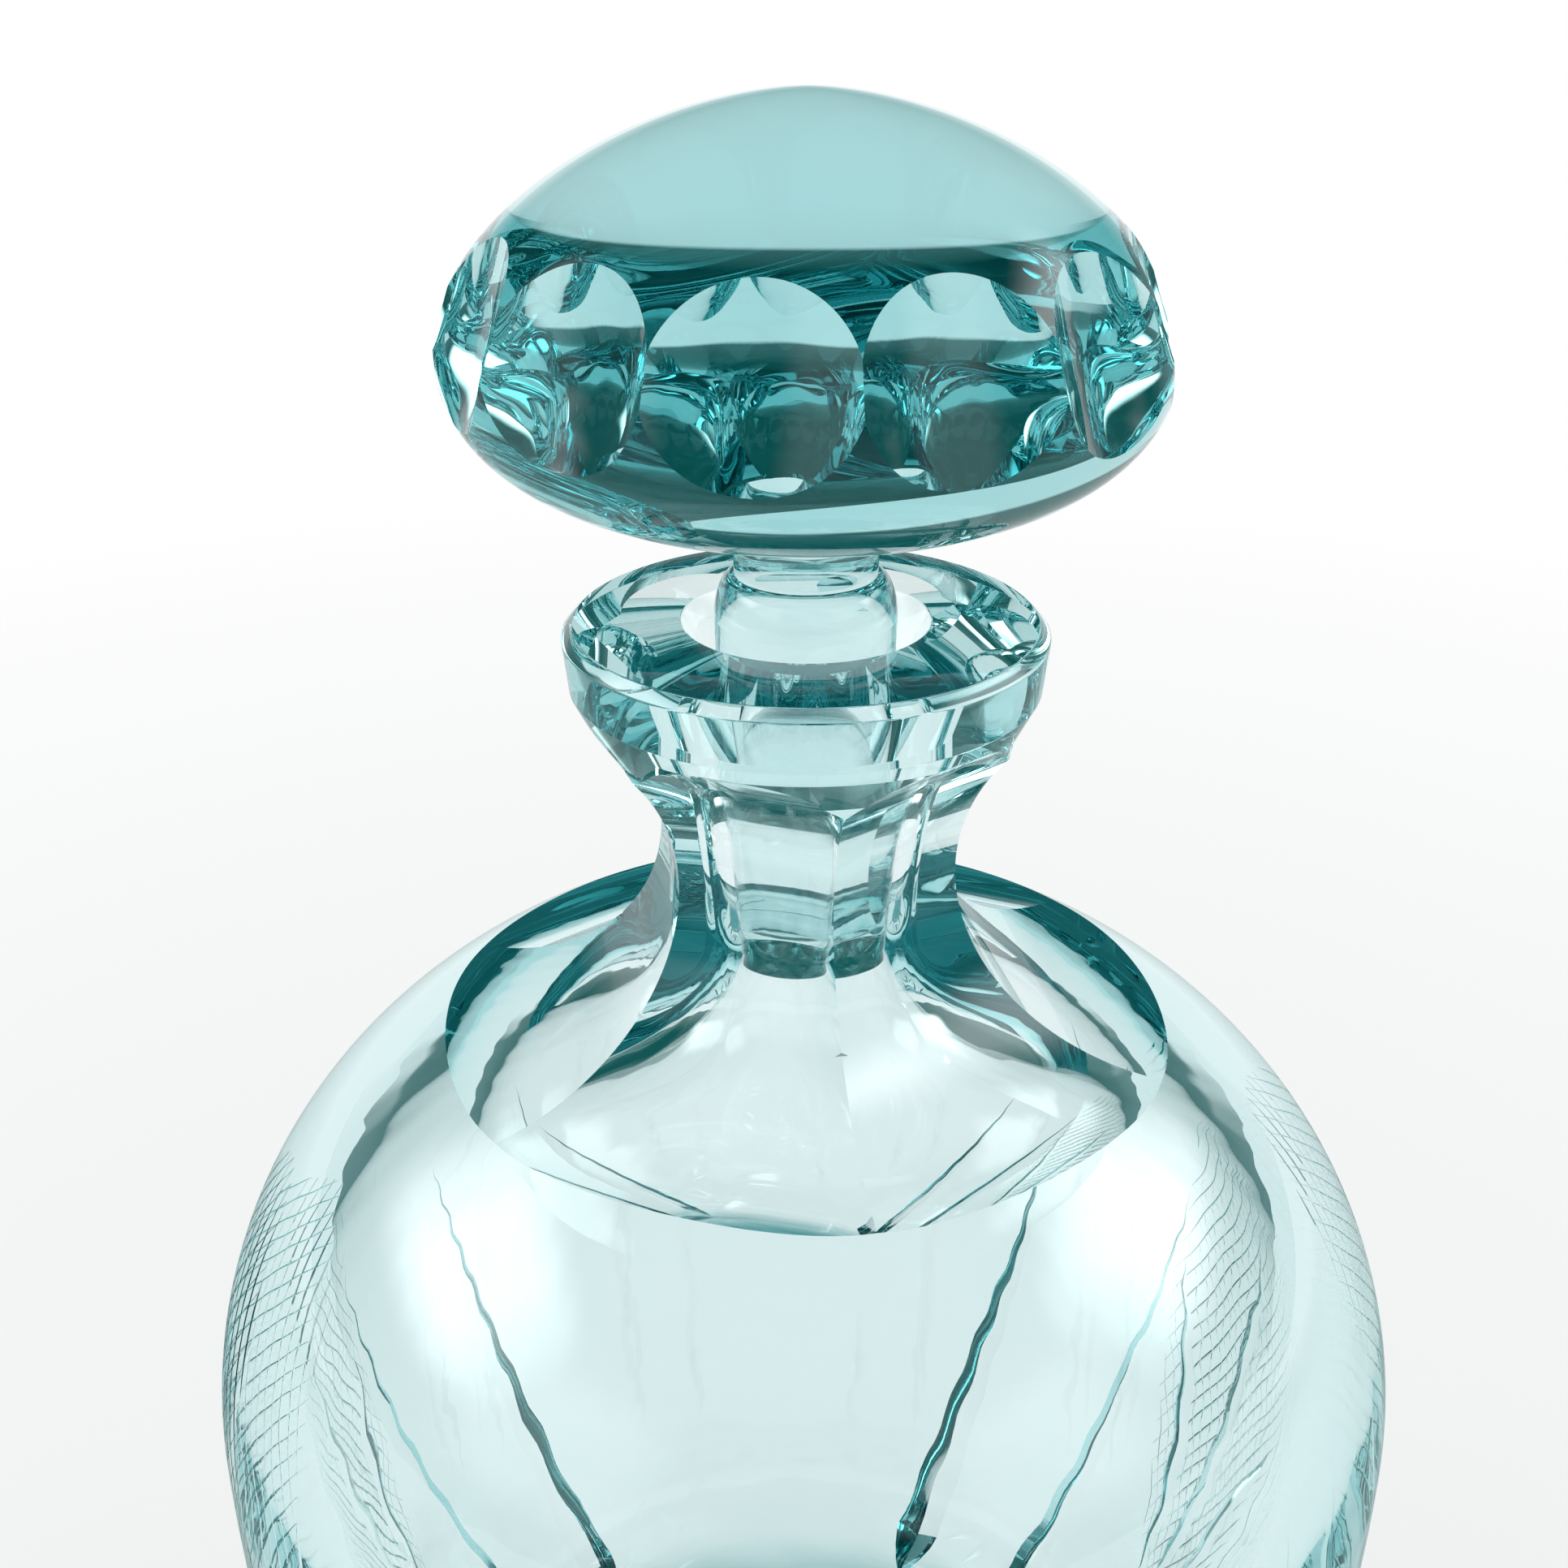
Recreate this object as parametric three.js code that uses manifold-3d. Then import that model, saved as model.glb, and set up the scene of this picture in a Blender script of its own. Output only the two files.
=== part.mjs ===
// A heavy cut-glass decanter with a mushroom stopper, in pale aqua crystal.
// Millimetres, +Z up. The origin is the centre of the base, on the surface the decanter stands on.
// Angles turn from the front (-Y) towards +X.
//
// The body is one piece of glass: a blown and turned blank, six flutes ground round the neck
// by a wheel that lies across it, V-shaped blades and leaves cut in the wall, and the hollow inside.
// The stopper is a second piece: a solid head with a ring of thumbprint cuts, a short stem and a
// tapered plug that seats in the neck.
import * as THREE from "three";
import { mergeVertices } from "three/addons/utils/BufferGeometryUtils.js";
import Module from "manifold-3d";

const wasm = await Module();
wasm.setup();

// Body, outside
const BODY_RADIUS = 59; // at the widest section
const WIDEST_HEIGHT = 90; // of the widest section above the base
const SHOULDER_RISE = 48.2; // of the elliptical shoulder above the widest section, to the axis
const SHOULDER_EDGE_RADIUS = 34.9; // of the crisp edge where the flutes run out on the shoulder
const BELLY_ARC = 220; // radius of the long arc from the widest section down to the heel
const HEEL_ROUND = 6; // rounding between belly and base
const PONTIL_RADIUS = 18; // of the shallow polished dish under the base
const PONTIL_DEPTH = 1.5;

// Lip and neck blank
const LIP_RADIUS = 21.6;
const LIP_BEVEL = 1; // round the top edge of the lip
const LIP_BAND = 5.6; // height of the upright band of the lip
const LIP_BAND_TAPER = 0.5; // how far the band draws in towards its lower edge
const UNDER_LIP_INSET = 2.6; // from the lip's radius to that of the neck before the flutes are ground
const UNDER_LIP_DROP = 4.2; // height of the cone from the band to the neck blank

// Neck flutes
const FLUTE_COUNT = 6;
const FLUTE_WHEEL_RADIUS = 18.4; // of the grinding wheel, so of the flutes' upright curve
const THROAT_RADIUS = 12.6; // axis to the middle of a flute, where the neck is narrowest
const THROAT_DEPTH = 22; // of the narrowest section below the top of the lip

// Mitre cuts in the wall: blades that rise from the heel at front and back, a fan of leaves at each side
const CUT_FRONT = 180 / FLUTE_COUNT; // degrees to the middle of the cuts, on an edge between two flutes
const CUT_STEEPNESS = 0.61; // depth of a cut over half its width
const CUT_PROUD = 0.5; // how far the wheel stands out of the wall
const CUT_FINEST = 0.5; // width that a cut runs out to
const BLADE_TURNS = [39, 63]; // degrees each way from the middle of the front and of the back
const BLADE_LEAN = 16; // degrees that a blade leans away from its foot to its tip
const BLADE_WIDTH = 7.5; // it thins out from its swell to the tip
const BLADE_SWELL = 0.12; // share of the length, from the foot, where a blade is widest
const BLADE_OVER_HEEL = 1; // from the top of the heel's rounding to the foot
const BLADE_OVER_WIDEST = 2; // from the widest section to the tip
const LEAF_WIDTH = 5.2;
const LEAF_FOOT = 56; // below the widest section
const LEAF_SPREAD = 0.3; // share of a leaf's turn that its foot already has
const LEAF_CURVE = 1.5; // 1 is straight, more bends a leaf outwards towards its tip
const LEAVES = [
  { turn: -19, tip: -10 }, // degrees from the middle of the side, and height over the widest section
  { turn: 0, tip: 8 },
  { turn: 19, tip: -10 },
];

// Hollow
const WALL = 9; // at the widest section
const SHOULDER_WALL = 10.7; // from the top of the shoulder's ellipse down to that of the hollow
const FLOOR_THICKNESS = 20;
const FLOOR_ROUND = 16; // inside, between wall and floor
const MOUTH_RADIUS = 11; // of the pouring mouth at the top of the lip
const MOUTH_DEPTH = 8; // of the funnel from the mouth to the ground bore
const BORE_ABOVE_TIP = 3; // from the tip of the plug up to where the bore starts to flare
const BORE_FLARE_RADIUS = 30; // where the flare under the bore has become the hollow's dome
const BORE_FLARE_PULL = 12; // how far the flare keeps the direction of each of its ends

// Stopper
const PLUG_TOP_RADIUS = 8.1;
const PLUG_TIP_RADIUS = 7.2;
const PLUG_LENGTH = 33.5;
const PLUG_TIP_BEVEL = 0.8;
const PLUG_STAND = 0.3; // how far the top of the plug stands above the lip
const SEAT_CLEARANCE = 0.3; // between the plug and the bore it sits in
const STEM_RADIUS = 6.35;
const STEM_SHOULDER = 4; // height of the rounded collar from the plug up to the stem
const STEM_LENGTH = 5.2; // from the collar to the underside of the head
const HEAD_RADIUS = 30.7;
const HEAD_CROWN = 19.6; // widest section of the head to its top
const HEAD_UNDER = 15.3; // widest section of the head to its underside
const CROWN_FULLNESS = 1.72; // 2 is an ellipse, less is leaner towards the rim
const UNDER_FULLNESS = 2.36;

// Thumbprint cuts round the head
const PRINT_COUNT = 12;
const PRINT_INSET = 3.6; // from the head's widest radius in to the deepest point of a cut
const PRINT_RISE = 2.1; // of the deepest point above the widest section
const PRINT_TILT = 17; // degrees that a cut leans back to face upwards
const PRINT_WHEEL = { across: 13.4, deep: 10, along: 28 }; // half sizes of the oval wheel
const STOPPER_TURN = 12.5; // degrees that the stopper stands turned in the neck

// Fineness: faces round a turned piece or a wheel, and along each stretch of a profile
const STEPS = {
  round: 60,
  fluteWheel: 48,
  printWheel: 24,
  pontil: 3,
  heel: 3,
  belly: 7,
  shoulder: 12,
  floorCorner: 4,
  innerBelly: 5,
  innerDome: 7,
  boreFlare: 6,
  mitre: 10,
  collar: 5,
  headUnder: 9,
  headCrown: 12,
};

const GLASS = { color: 0xa9dde0, roughness: 0.03, metalness: 0, transparent: true, opacity: 0.6 };

// Heights that follow from the sizes
const edgeShare = SHOULDER_EDGE_RADIUS / BODY_RADIUS;
const shoulderEdge = WIDEST_HEIGHT + SHOULDER_RISE * Math.sqrt(1 - edgeShare ** 2);
const throat = shoulderEdge + FLUTE_WHEEL_RADIUS; // the wheel's lowest point lies level with the edge
const lipTop = throat + THROAT_DEPTH;
const plugTop = lipTop + PLUG_STAND;
const plugTip = plugTop - PLUG_LENGTH;
const stemFoot = plugTop + STEM_SHOULDER;
const headFoot = stemFoot + STEM_LENGTH;
const headWidest = headFoot + HEAD_UNDER;

const { degToRad, lerp } = THREE.MathUtils;
const point = (radius, height) => new THREE.Vector2(radius, height);

// Points of an elliptical arc in the profile's half-plane, from one angle to another.
function arc(centre, radiusX, radiusZ, from, to, steps) {
  return Array.from({ length: steps + 1 }, (_, i) => {
    const angle = from + ((to - from) * i) / steps;
    return point(centre.x + radiusX * Math.cos(angle), centre.y + radiusZ * Math.sin(angle));
  });
}

// A quarter of a superellipse from its rim at (radius, 0) to its pole at (0, height).
function domeQuarter(radius, height, fullness, steps) {
  return Array.from({ length: steps + 1 }, (_, i) => {
    const angle = (Math.PI / 2) * (i / steps);
    return point(radius * Math.cos(angle) ** (2 / fullness), height * Math.sin(angle) ** (2 / fullness));
  });
}

// Profile of a belly: a floor, a rounded corner and a long arc that is upright at the widest section.
function belly(arcRadius, floorHeight, cornerRadius, cornerSteps, bellySteps) {
  const arcCentre = point(BODY_RADIUS - BELLY_ARC, WIDEST_HEIGHT);
  const cornerHeight = floorHeight + cornerRadius;
  const drop = WIDEST_HEIGHT - cornerHeight;
  const reach = arcRadius - cornerRadius;
  const cornerCentre = point(arcCentre.x + Math.sqrt(reach ** 2 - drop ** 2), cornerHeight);
  const lean = -Math.asin(drop / reach); // angle of the point where the corner meets the long arc
  return [
    ...arc(cornerCentre, cornerRadius, cornerRadius, -Math.PI / 2, lean, cornerSteps),
    ...arc(arcCentre, arcRadius, arcRadius, lean, 0, bellySteps).slice(1),
  ];
}

// A closed solid turned about the Z axis from a profile that runs upwards from axis to axis.
function turned(profile) {
  return solidOf(new THREE.LatheGeometry(profile, STEPS.round).rotateX(Math.PI / 2));
}

function solidOf(geometry) {
  const bare = geometry.clone();
  bare.deleteAttribute("normal");
  bare.deleteAttribute("uv");
  const merged = mergeVertices(bare, 1e-4);
  const corners = merged.index.array;
  const triangles = [];
  for (let i = 0; i < corners.length; i += 3) {
    const [a, b, c] = corners.subarray(i, i + 3);
    if (a !== b && b !== c && c !== a) triangles.push(a, b, c); // a lathe folds some onto its axis
  }
  const mesh = new wasm.Mesh({
    numProp: 3,
    vertProperties: merged.attributes.position.array,
    triVerts: new Uint32Array(triangles),
  });
  mesh.merge(); // closes a seam that rounding has left open
  return new wasm.Manifold(mesh);
}

function meshOf(name, solid, material) {
  const { vertProperties, triVerts } = solid.getMesh();
  const geometry = new THREE.BufferGeometry();
  geometry.setAttribute("position", new THREE.BufferAttribute(vertProperties, 3));
  geometry.setIndex(new THREE.BufferAttribute(triVerts, 1));
  geometry.computeVertexNormals();
  const mesh = new THREE.Mesh(geometry, material);
  mesh.name = name;
  return mesh;
}

// Cuts copies of a cutter from a solid, spaced evenly round the Z axis.
function cutRound(solid, cutterGeometry, count, firstAngle) {
  for (let i = 0; i < count; i += 1) {
    const angle = firstAngle + (2 * Math.PI * i) / count;
    solid = solid.subtract(solidOf(cutterGeometry.clone().rotateZ(angle)));
  }
  return solid;
}

// Body

const widest = point(0, WIDEST_HEIGHT);

function bodyBlank() {
  const neckRadius = LIP_RADIUS - UNDER_LIP_INSET;
  const domeEnd = Math.acos(neckRadius / BODY_RADIUS);
  const bandFoot = lipTop - LIP_BAND;
  const dishRadius = (PONTIL_RADIUS ** 2 + PONTIL_DEPTH ** 2) / (2 * PONTIL_DEPTH);
  const dishCentre = point(0, PONTIL_DEPTH - dishRadius);
  const dishEdge = Math.asin((dishRadius - PONTIL_DEPTH) / dishRadius);
  return turned([
    ...arc(dishCentre, dishRadius, dishRadius, Math.PI / 2, dishEdge, STEPS.pontil),
    ...belly(BELLY_ARC, 0, HEEL_ROUND, STEPS.heel, STEPS.belly),
    ...arc(widest, BODY_RADIUS, SHOULDER_RISE, 0, domeEnd, STEPS.shoulder).slice(1),
    point(neckRadius, bandFoot - UNDER_LIP_DROP),
    point(LIP_RADIUS - LIP_BAND_TAPER, bandFoot),
    point(LIP_RADIUS, lipTop - LIP_BEVEL),
    point(LIP_RADIUS - LIP_BEVEL, lipTop),
    point(0, lipTop),
  ]);
}

// The wheel lies across the neck in front, so a flute is flat across and hollow upright.
function fluteWheel() {
  return new THREE.CylinderGeometry(
    FLUTE_WHEEL_RADIUS,
    FLUTE_WHEEL_RADIUS,
    2 * BODY_RADIUS,
    STEPS.fluteWheel,
  )
    .rotateZ(Math.PI / 2)
    .translate(0, -(THROAT_RADIUS + FLUTE_WHEEL_RADIUS), throat);
}

// A place on the outside wall below the flutes, and the outward direction there.
function wallAt(angle, height) {
  const over = height - WIDEST_HEIGHT;
  let radius = BODY_RADIUS - BELLY_ARC + Math.sqrt(BELLY_ARC ** 2 - over ** 2);
  let slope = point(radius - BODY_RADIUS + BELLY_ARC, over);
  if (over > 0) {
    radius = BODY_RADIUS * Math.sqrt(1 - (over / SHOULDER_RISE) ** 2);
    slope = point(radius / BODY_RADIUS ** 2, over / SHOULDER_RISE ** 2);
  }
  const turn = (p) => new THREE.Vector3(p.x * Math.sin(angle), -p.x * Math.cos(angle), p.y);
  return { place: turn(point(radius, height)), outward: turn(slope.normalize()) };
}

// Cutter of a V-edged wheel along a line on the wall, which gives angle, height and width at each share.
function mitre(line) {
  const stations = Array.from({ length: STEPS.mitre + 1 }, (_, i) => {
    const { angle, height, width } = line(i / STEPS.mitre);
    return { ...wallAt(angle, height), half: Math.max(width, CUT_FINEST) / 2 };
  });
  const corners = stations.flatMap(({ place, outward, half }, i) => {
    const before = stations[Math.max(i - 1, 0)].place;
    const after = stations[Math.min(i + 1, STEPS.mitre)].place;
    const across = outward.clone().cross(after.clone().sub(before)).normalize();
    const keel = place.clone().addScaledVector(outward, -half * CUT_STEEPNESS);
    const top = place.clone().addScaledVector(outward, CUT_PROUD);
    const reach = half + CUT_PROUD / CUT_STEEPNESS;
    const rims = [reach, -reach].map((side) => top.clone().addScaledVector(across, side));
    return [keel, ...rims];
  });
  const last = corners.length - 3;
  const triangles = [0, 2, 1, last, last + 1, last + 2];
  for (let i = 0; i < last; i += 3) {
    for (const [a, b] of [[0, 1], [1, 2], [2, 0]]) {
      triangles.push(i + a, i + b, i + 3 + b, i + a, i + 3 + b, i + 3 + a);
    }
  }
  return solidOf(new THREE.BufferGeometry().setFromPoints(corners).setIndex(triangles));
}

function blades() {
  const foot = HEEL_ROUND + BLADE_OVER_HEEL;
  const tip = WIDEST_HEIGHT + BLADE_OVER_WIDEST;
  return [0, 180].flatMap((middle) =>
    BLADE_TURNS.flatMap((turn) =>
      [-1, 1].map((hand) =>
        mitre((share) => ({
          angle: degToRad(CUT_FRONT + middle + hand * (turn + BLADE_LEAN * (share - 0.5))),
          height: lerp(foot, tip, share),
          width: BLADE_WIDTH * Math.min(1, share / BLADE_SWELL) * (1 - share),
        })),
      ),
    ),
  );
}

function leaves() {
  return [90, 270].flatMap((middle) =>
    LEAVES.map(({ turn, tip }) =>
      mitre((share) => ({
        angle: degToRad(CUT_FRONT + middle + turn * lerp(LEAF_SPREAD, 1, share ** LEAF_CURVE)),
        height: WIDEST_HEIGHT + lerp(-LEAF_FOOT, tip, share),
        width: LEAF_WIDTH * Math.sin(Math.PI * share),
      })),
    ),
  );
}

// Radius of the plug's taper at a height, carried on past its ends.
function plugRadius(height) {
  const share = (plugTop - height) / PLUG_LENGTH;
  return PLUG_TOP_RADIUS + (PLUG_TIP_RADIUS - PLUG_TOP_RADIUS) * share;
}

function hollow() {
  const boreTop = lipTop - MOUTH_DEPTH;
  const boreFoot = plugTip + BORE_ABOVE_TIP;
  const boreRadius = (height) => plugRadius(height) + SEAT_CLEARANCE;
  const innerRadius = BODY_RADIUS - WALL;
  const innerRise = SHOULDER_RISE - SHOULDER_WALL;
  const domeEnd = Math.acos(BORE_FLARE_RADIUS / innerRadius);
  const dome = arc(widest, innerRadius, innerRise, 0, domeEnd, STEPS.innerDome);
  const flareStart = dome[dome.length - 1];
  const flareEnd = point(boreRadius(boreFoot), boreFoot);
  const along = point(-innerRadius * Math.sin(domeEnd), innerRise * Math.cos(domeEnd)).normalize();
  const flare = new THREE.CubicBezierCurve(
    flareStart,
    flareStart.clone().addScaledVector(along, BORE_FLARE_PULL),
    point(flareEnd.x, flareEnd.y - BORE_FLARE_PULL),
    flareEnd,
  ).getPoints(STEPS.boreFlare);
  return turned([
    point(0, FLOOR_THICKNESS),
    ...belly(BELLY_ARC - WALL, FLOOR_THICKNESS, FLOOR_ROUND, STEPS.floorCorner, STEPS.innerBelly),
    ...dome.slice(1),
    ...flare.slice(1),
    point(boreRadius(boreTop), boreTop),
    point(MOUTH_RADIUS, lipTop),
    point(MOUTH_RADIUS, lipTop + MOUTH_DEPTH), // past the lip, so that the mouth is open
    point(0, lipTop + MOUTH_DEPTH),
  ]);
}

function body() {
  const fluted = cutRound(bodyBlank(), fluteWheel(), FLUTE_COUNT, 0);
  const cut = [...blades(), ...leaves()].reduce((solid, cutter) => solid.subtract(cutter), fluted);
  return cut.subtract(hollow());
}

// Stopper

function stopperBlank() {
  const under = domeQuarter(HEAD_RADIUS, -HEAD_UNDER, UNDER_FULLNESS, STEPS.headUnder)
    .reverse()
    .filter((p) => p.x > STEM_RADIUS);
  const crown = domeQuarter(HEAD_RADIUS, HEAD_CROWN, CROWN_FULLNESS, STEPS.headCrown).slice(1);
  const collarWidth = PLUG_TOP_RADIUS - STEM_RADIUS;
  return turned([
    point(0, plugTip),
    point(PLUG_TIP_RADIUS - PLUG_TIP_BEVEL, plugTip),
    point(plugRadius(plugTip + PLUG_TIP_BEVEL), plugTip + PLUG_TIP_BEVEL),
    ...arc(point(STEM_RADIUS, plugTop), collarWidth, STEM_SHOULDER, 0, Math.PI / 2, STEPS.collar),
    point(STEM_RADIUS, headFoot),
    ...[...under, ...crown].map((p) => point(p.x, headWidest + p.y)),
  ]);
}

function printWheel() {
  return new THREE.SphereGeometry(1, STEPS.printWheel, STEPS.printWheel / 2)
    .rotateX(Math.PI / 2) // poles front and back, so that the finest faces lie in the cut
    .scale(PRINT_WHEEL.across, PRINT_WHEEL.deep, PRINT_WHEEL.along)
    .translate(0, -PRINT_WHEEL.deep, 0)
    .rotateX(-degToRad(PRINT_TILT))
    .translate(0, PRINT_INSET - HEAD_RADIUS, headWidest + PRINT_RISE);
}

function stopper() {
  return cutRound(stopperBlank(), printWheel(), PRINT_COUNT, degToRad(STOPPER_TURN));
}

const decanter = new THREE.Group();
decanter.name = "decanter";
decanter.add(meshOf("decanter_body", body(), new THREE.MeshStandardMaterial(GLASS)));
decanter.add(meshOf("stopper", stopper(), new THREE.MeshStandardMaterial(GLASS)));

export default decanter;
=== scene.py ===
"""Looks of the cut-glass decanter: fine polished meshes, aqua crystal and a plain studio.

Metres, +Z up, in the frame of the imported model. Angles turn from -Y towards +X, seen from above.
Both pieces are turned from a profile and then cut with wheels, as the real ones are.
"""

import math

import bmesh
import bpy
import numpy as np
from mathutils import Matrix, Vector

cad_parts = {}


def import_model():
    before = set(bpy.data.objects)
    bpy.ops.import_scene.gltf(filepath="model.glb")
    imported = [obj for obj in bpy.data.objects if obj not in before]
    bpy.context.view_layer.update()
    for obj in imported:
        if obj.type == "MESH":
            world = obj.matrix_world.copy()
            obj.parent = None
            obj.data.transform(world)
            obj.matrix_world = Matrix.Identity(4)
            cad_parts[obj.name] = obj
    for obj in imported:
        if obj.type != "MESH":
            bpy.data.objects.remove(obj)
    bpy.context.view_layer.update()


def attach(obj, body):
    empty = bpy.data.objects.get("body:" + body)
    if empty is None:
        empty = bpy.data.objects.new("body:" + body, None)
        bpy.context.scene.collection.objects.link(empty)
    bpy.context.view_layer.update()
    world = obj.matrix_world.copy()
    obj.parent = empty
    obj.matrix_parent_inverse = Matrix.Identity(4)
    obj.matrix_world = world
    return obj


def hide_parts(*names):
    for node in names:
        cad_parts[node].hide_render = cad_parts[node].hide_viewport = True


# Body, outside
BODY_RADIUS = 0.059
WIDEST_HEIGHT = 0.090
SHOULDER_RISE = 0.0482
SHOULDER_EDGE_RADIUS = 0.0349
BELLY_ARC = 0.220
HEEL_ROUND = 0.006
PONTIL_RADIUS = 0.018
PONTIL_DEPTH = 0.0015

# Lip and neck blank
LIP_RADIUS = 0.0216
LIP_BEVEL = 0.001
LIP_BAND = 0.0056
LIP_BAND_TAPER = 0.0005
UNDER_LIP_INSET = 0.0026
UNDER_LIP_DROP = 0.0042
EDGE_ROUND = 0.00025

# Neck flutes
FLUTE_COUNT = 6
FLUTE_WHEEL_RADIUS = 0.0184
THROAT_RADIUS = 0.0126
THROAT_DEPTH = 0.022

# Hollow, with the faint waves of a blown wall: each train's slant in degrees and its length
WALL = 0.009
SHOULDER_WALL = 0.0107
FLOOR_THICKNESS = 0.020
FLOOR_ROUND = 0.016
MOUTH_RADIUS = 0.011
MOUTH_DEPTH = 0.008
BORE_ABOVE_TIP = 0.003
BORE_FLARE_RADIUS = 0.030
BORE_FLARE_PULL = 0.012
WAVE_TRAINS = ((20, 0.0045), (75, 0.0036), (130, 0.006))
WAVE_TILT = 0.005
WAVE_WANDER = 2
WAVE_WANDERS_ROUND = 3

# Stopper
PLUG_TOP_RADIUS = 0.0081
PLUG_TIP_RADIUS = 0.0072
PLUG_LENGTH = 0.0335
PLUG_TIP_BEVEL = 0.0008
PLUG_STAND = 0.0003
SEAT_CLEARANCE = 0.0003
STEM_RADIUS = 0.00635
STEM_SHOULDER = 0.004
STEM_LENGTH = 0.0052
STEM_JOINS_HEAD = 1.01
HEAD_RADIUS = 0.0307
HEAD_CROWN = 0.0196
HEAD_UNDER = 0.0153
CROWN_FULLNESS = 1.72
UNDER_FULLNESS = 2.36

# Thumbprint cuts round the head, with the faint waves of polishing
PRINT_COUNT = 12
PRINT_INSET = 0.0036
PRINT_RISE = 0.0021
PRINT_TILT = math.radians(17)
PRINT_WHEEL = (0.0134, 0.010, 0.028)
PRINT_WAVE = 0.0028
PRINT_WAVE_BEND = 0.3
PRINT_WAVE_TILT = 0.012
STOPPER_TURN = math.radians(12.5)

# Mitre cuts in the wall: blades at front and back, and at each side a fan of leaves on a fine net
CUT_FRONT = math.pi / FLUTE_COUNT
CUT_STEEPNESS = 0.61
CUT_PROUD = 0.0005
CUT_FINEST = 0.0001
BLADE_TURNS = (39, 63)
BLADE_LEAN = 16
BLADE_WIDTH = 0.0075
BLADE_SWELL = 0.12
BLADE_OVER_HEEL = 0.001
BLADE_OVER_WIDEST = 0.002
LEAF_WIDTH = 0.0052
LEAF_FOOT = 0.056
LEAF_SPREAD = 0.3
LEAF_CURVE = 1.5
LEAVES = ((-19, -0.010), (0, 0.008), (19, -0.010))
NET_DROP = 0.014
NET_REACH = (0.021, 0.040)
NET_SLANT = math.radians(32)
NET_PITCH = 0.0021
NET_WIDTH = 0.00045

# Heights and radii that follow from the sizes
SHOULDER_EDGE = WIDEST_HEIGHT + SHOULDER_RISE * math.sqrt(1 - (SHOULDER_EDGE_RADIUS / BODY_RADIUS) ** 2)
THROAT = SHOULDER_EDGE + FLUTE_WHEEL_RADIUS
LIP_TOP = THROAT + THROAT_DEPTH
NECK_RADIUS = LIP_RADIUS - UNDER_LIP_INSET
INNER_RADIUS = BODY_RADIUS - WALL
INNER_RISE = SHOULDER_RISE - SHOULDER_WALL
PLUG_TOP = LIP_TOP + PLUG_STAND
PLUG_TIP = PLUG_TOP - PLUG_LENGTH
STEM_FOOT = PLUG_TOP + STEM_SHOULDER
HEAD_FOOT = STEM_FOOT + STEM_LENGTH
HEAD_WIDEST = HEAD_FOOT + HEAD_UNDER

# Crystal
AQUA = (0, 0.66, 0.685)
BODY_DENSITY = 14.5
STOPPER_DENSITY = 17
CRYSTAL_IOR = 1.53

# Camera, from the photograph's perspective
VIEW_AZIMUTH = math.radians(20)
VIEW_PAN = math.radians(0.68)
VIEW_PITCH = math.radians(25.16)
VIEW_DISTANCE = 0.1624
VIEW_ABOVE_LIP = 0.060
VIEW_NEAREST = 0.005
LENS_MM = 44.85
SENSOR_MM = 36

# Floor, and the shade on it under the base; a pair is where a change starts and where it ends
FLOOR_REACH = 20
FLOOR_COLOUR = (0.88, 0.9, 0.89)
FLOOR_ROUGHNESS = 0.9
FLOOR_WHITENESS = 0.75
FLOOR_FADE = 0.6
SHADE_EDGE = (0.032, 0.05)
SHADE_COLOUR = (0.15, 0.40, 0.42)

# Room, backdrop and what the outside of the glass mirrors of them
ROOM_COLOUR = (0.13, 0.23, 0.23)
CEILING_COLOUR = (0.008, 0.1, 0.095)
CEILING_STARTS = 0.3
BACKDROP_TOP = (0.0765, 0.1035)
BACKDROP_REACH = (0.736, 0.864)
MIRROR_REACH = (0.5, 0.8)
MIRROR_TOP = (0.02, 0.25)
MIRROR_FLOOR = (0.15, 0.6)

# Lamps: name, radiance, degrees aside of the camera and degrees up
LAMP_SIZE = (0.72, 0.56)
LAMP_EDGE = 0.3
LAMP_DISTANCE = 0.8
LAMPS = (
    ("lamp_left", 4, -92, 36),
    ("lamp_right", 4, 103, 36),
    ("fill_left", 0.9, -51, 27),
    ("fill_right", 0.9, 51, 27),
)

# Fineness
COLUMNS = 288
DISH_STEPS = 8
HEEL_STEPS = 12
BELLY_STEPS = 38
SHOULDER_STEPS = 54
EDGE_STEPS = 4
HOLLOW_CORNER_STEPS = 12
HOLLOW_BELLY_STEPS = 58
HOLLOW_DOME_STEPS = 34
FLARE_STEPS = 20
COLLAR_STEPS = 24
UNDER_STEPS = 90
CROWN_STEPS = 110
FLUTE_WHEEL_STEPS = 240
PRINT_WHEEL_STEPS = 128
CUT_STEP = 0.0015
CUT_FEWEST_STEPS = 5
SLIVER = 2e-7
LIGHT_BOUNCES = 64

# Marks of the faces that a kind of cut made; cuts of one kind lie MARKS_APART from each other
FLUTE_CUT = -1
PRINT_CUT = -2
MITRE_CUT = -3
MARKS_APART = 10


def arc(centre, radius_x, radius_z, start, end, steps):
    """Points of an elliptical arc in the profile's half-plane."""
    angle = np.linspace(start, end, steps + 1)
    return np.column_stack((centre[0] + radius_x * np.cos(angle), centre[1] + radius_z * np.sin(angle)))


def bezier(a, b, c, d, steps):
    """Points of a cubic curve."""
    t = np.linspace(0, 1, steps + 1)[:, None]
    a, b, c, d = map(np.asarray, (a, b, c, d))
    return a * (1 - t) ** 3 + 3 * b * t * (1 - t) ** 2 + 3 * c * t**2 * (1 - t) + d * t**3


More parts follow.
